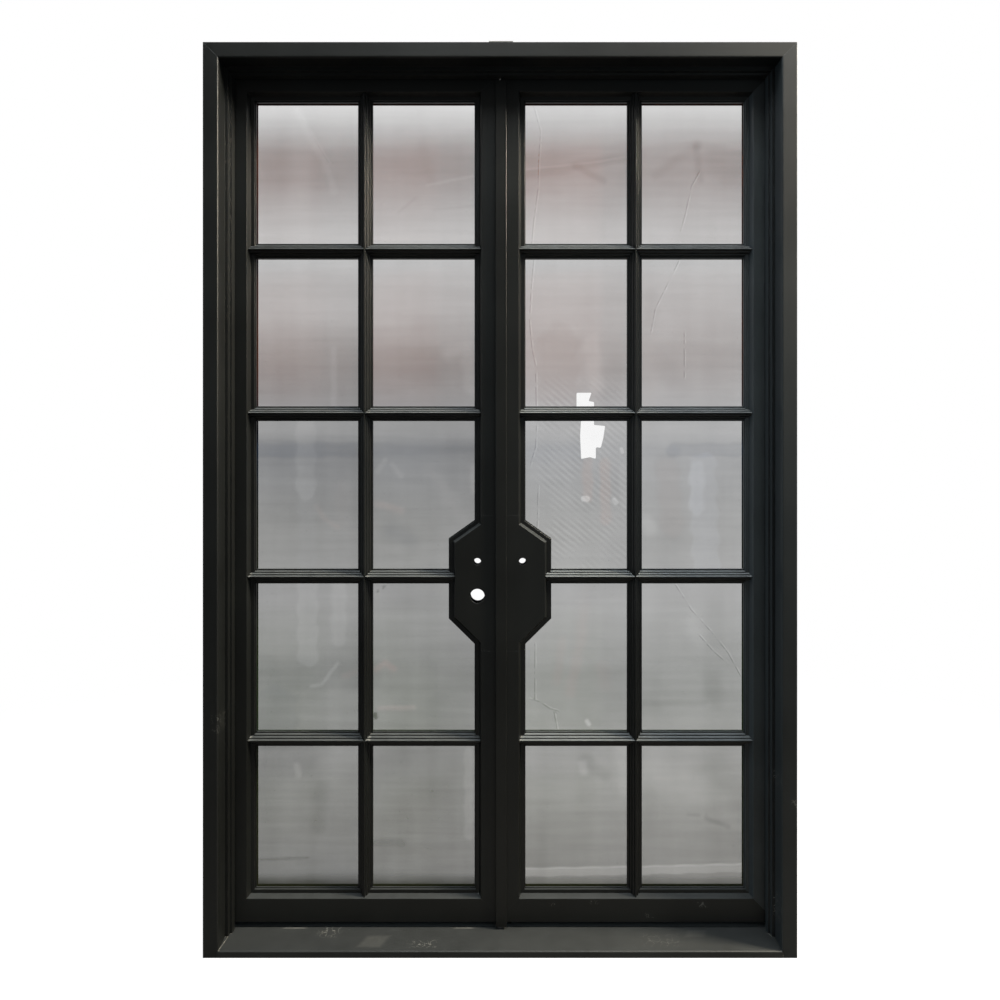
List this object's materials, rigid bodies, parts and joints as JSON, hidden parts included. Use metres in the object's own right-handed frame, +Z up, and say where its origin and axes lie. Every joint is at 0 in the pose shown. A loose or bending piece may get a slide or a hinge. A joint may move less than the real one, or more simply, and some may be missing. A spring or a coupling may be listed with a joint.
{
  "type": "french doors",
  "caption": "Black steel french doors in a deep box frame, two glazed leaves with glazing bars and lock boxes, hinged to open inwards.",
  "frame": {"origin": "middle of the sill's underside, halfway across the frame's width and depth", "axes": "+X to the right seen from outside, +Y into the house, +Z up"},
  "size_m": [1.575, 0.175, 2.43],
  "materials": {
    "frame_paint": "satin black powder coat",
    "sill_paint": "satin black powder coat, scuffed and dusty",
    "leaf_paint": "satin black powder coat",
    "bar_paint": "satin black powder coat",
    "strip_paint": "satin black powder coat",
    "bead_paint": "satin black powder coat",
    "hinge_paint": "satin black powder coat",
    "pin_steel": "turned",
    "bearing_brass": "turned",
    "bolt_steel": "brushed",
    "seal_rubber": "matt",
    "filmed_glass": "clear sealed unit under a hazy protective film"
  },
  "bodies": {
    "frame": {"jamb_left": "frame_paint", "jamb_right": "frame_paint", "head": "frame_paint", "head_anchor_tab": "frame_paint", "threshold": "sill_paint", "weatherseal_left": "seal_rubber", "weatherseal_right": "seal_rubber", "weatherseal_head": "seal_rubber", "hinge_frame_knuckles_left": "hinge_paint", "hinge_frame_knuckles_right": "hinge_paint", "hinge_pins": "pin_steel", "hinge_bearings": "bearing_brass"},
    "leaf_left": {"hinge_stile_left": "leaf_paint", "lock_stile_upper_left": "leaf_paint", "lock_stile_lower_left": "leaf_paint", "lock_box_left": "leaf_paint", "top_rail_left": "leaf_paint", "bottom_rail_left": "leaf_paint", "muntin_upright_left": "bar_paint", "crossbars_left": "bar_paint", "pane_left_1_meeting": "filmed_glass", "pane_left_1_hinge": "filmed_glass", "pane_left_2_meeting": "filmed_glass", "pane_left_2_hinge": "filmed_glass", "pane_left_3_meeting": "filmed_glass", "pane_left_3_hinge": "filmed_glass", "pane_left_4_meeting": "filmed_glass", "pane_left_4_hinge": "filmed_glass", "pane_left_5_meeting": "filmed_glass", "pane_left_5_hinge": "filmed_glass", "glazing_beads_left": "bead_paint", "sweep_left": "seal_rubber", "hinge_leaf_knuckles_left": "hinge_paint"},
    "leaf_right": {"hinge_stile_right": "leaf_paint", "lock_stile_upper_right": "leaf_paint", "lock_stile_lower_right": "leaf_paint", "lock_box_right": "leaf_paint", "top_rail_right": "leaf_paint", "bottom_rail_right": "leaf_paint", "muntin_upright_right": "bar_paint", "crossbars_right": "bar_paint", "pane_right_1_meeting": "filmed_glass", "pane_right_1_hinge": "filmed_glass", "pane_right_2_meeting": "filmed_glass", "pane_right_2_hinge": "filmed_glass", "pane_right_3_meeting": "filmed_glass", "pane_right_3_hinge": "filmed_glass", "pane_right_4_meeting": "filmed_glass", "pane_right_4_hinge": "filmed_glass", "pane_right_5_meeting": "filmed_glass", "pane_right_5_hinge": "filmed_glass", "glazing_beads_right": "bead_paint", "sweep_right": "seal_rubber", "hinge_leaf_knuckles_right": "hinge_paint", "astragal": "strip_paint", "astragal_seal": "seal_rubber", "flush_bolt_case_top": "bolt_steel", "flush_bolt_case_bottom": "bolt_steel"},
    "flush_bolt_top": {"flush_bolt_rod_top": "bolt_steel"},
    "flush_bolt_bottom": {"flush_bolt_rod_bottom": "bolt_steel"}
  },
  "joints": [
    {"name": "leaf_left_hinge", "type": "hinge", "parent": "frame", "child": "leaf_left", "pos_m": [-0.7405, 0.088, 1.212], "axis": [0, 0, 1], "range_deg": [0, 120]},
    {"name": "leaf_right_hinge", "type": "hinge", "parent": "frame", "child": "leaf_right", "pos_m": [0.7405, 0.088, 1.212], "axis": [0, 0, -1], "range_deg": [0, 120]},
    {"name": "flush_bolt_top_slide", "type": "slide", "parent": "leaf_right", "child": "flush_bolt_top", "axis": [0, 0, 1], "range_m": [0, 0.017]},
    {"name": "flush_bolt_bottom_slide", "type": "slide", "parent": "leaf_right", "child": "flush_bolt_bottom", "axis": [0, 0, -1], "range_m": [0, 0.029]}
  ]
}
